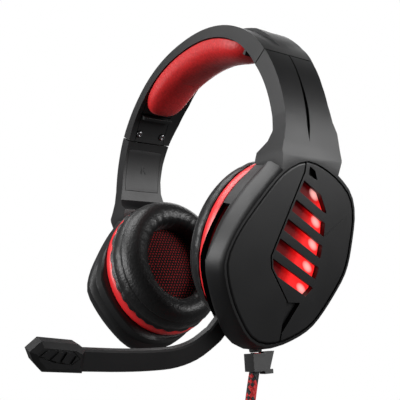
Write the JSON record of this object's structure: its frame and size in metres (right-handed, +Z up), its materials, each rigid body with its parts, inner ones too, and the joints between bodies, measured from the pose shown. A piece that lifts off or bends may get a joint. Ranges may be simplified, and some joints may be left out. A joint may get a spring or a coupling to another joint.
{
  "type": "gaming headset",
  "caption": "Over-ear gaming headset with a wide plastic headband, red accents, lit slotted cups, a swinging microphone boom and a braided cable.",
  "frame": {"origin": "the point under the headband cushion that rests on the crown of the head", "axes": "+Z up, the wearer faces -Y and the wearer's left ear is on +X"},
  "size_m": [0.1812, 0.163, 0.3115],
  "materials": {
    "shell_plastic": "moulded black plastic with a fine satin grain",
    "dark_plastic": "plain black plastic",
    "red_plastic": "satin red plastic",
    "red_leatherette": "red leatherette with a pebble grain",
    "black_leatherette": "soft black leatherette with creases",
    "speaker_cloth": "open red and black mesh cloth",
    "glow_window": "translucent red light guide",
    "circuit_board": "solder-masked board",
    "diaphragm_film": "thin film",
    "spring_steel": "brushed spring steel",
    "screw_steel": "dark plated screw",
    "driver_metal": "plated steel",
    "plug_steel": "nickel plated contact shell",
    "cable_rubber": "soft rubber",
    "braided_sleeve": "woven sleeve in red and black",
    "tie_strap": "hook and loop strap"
  },
  "bodies": {
    "headband": {"crown_shell": "shell_plastic", "spring_band": "spring_steel", "cushion_carrier": "dark_plastic", "headband_cushion": "red_leatherette", "left_slider_liner": "shell_plastic", "right_slider_liner": "shell_plastic", "left_screw_front": "screw_steel", "left_screw_back": "screw_steel", "right_screw_front": "screw_steel", "right_screw_back": "screw_steel"},
    "left_arm": {"left_arm_housing": "shell_plastic", "left_arm_inner_cover": "shell_plastic", "left_cover_front_plate": "shell_plastic", "left_cover_rear_plate": "shell_plastic", "left_light_guide": "glow_window", "left_led_board": "circuit_board", "left_accent_ring": "red_plastic", "left_inner_cup": "dark_plastic", "left_baffle": "dark_plastic", "left_driver_basket": "driver_metal", "left_diaphragm": "diaphragm_film", "left_speaker_mesh": "speaker_cloth", "left_ear_pad": "black_leatherette", "cable_strain_relief": "cable_rubber", "cable_clip": "dark_plastic", "cable": "braided_sleeve", "cable_coil": "braided_sleeve", "cable_tie": "tie_strap", "plug_body": "dark_plastic", "plug_contact": "plug_steel"},
    "right_arm": {"right_arm_housing": "shell_plastic", "right_arm_inner_cover": "shell_plastic", "right_cover_front_plate": "shell_plastic", "right_cover_rear_plate": "shell_plastic", "right_light_guide": "glow_window", "right_led_board": "circuit_board", "right_accent_ring": "red_plastic", "right_inner_cup": "dark_plastic", "right_baffle": "dark_plastic", "right_driver_basket": "driver_metal", "right_diaphragm": "diaphragm_film", "right_speaker_mesh": "speaker_cloth", "right_ear_pad": "black_leatherette"},
    "mic_boom": {"mic_boom_arm": "shell_plastic", "mic_pivot_cap": "dark_plastic", "mic_head_shell": "shell_plastic", "mic_grille": "dark_plastic", "mic_capsule": "driver_metal"}
  },
  "joints": [
    {"name": "left_arm_slide", "type": "slide", "parent": "headband", "child": "left_arm", "axis": [0.3584, 0, -0.9336], "range_m": [0, 0.02]},
    {"name": "right_arm_slide", "type": "slide", "parent": "headband", "child": "right_arm", "axis": [-0.3584, 0, -0.9336], "range_m": [0, 0.02]},
    {"name": "mic_boom_swing", "type": "hinge", "parent": "left_arm", "child": "mic_boom", "pos_m": [0.05863, 0, -0.11849], "axis": [-0.9483, 0, 0.3173], "range_deg": [0, 70]}
  ]
}
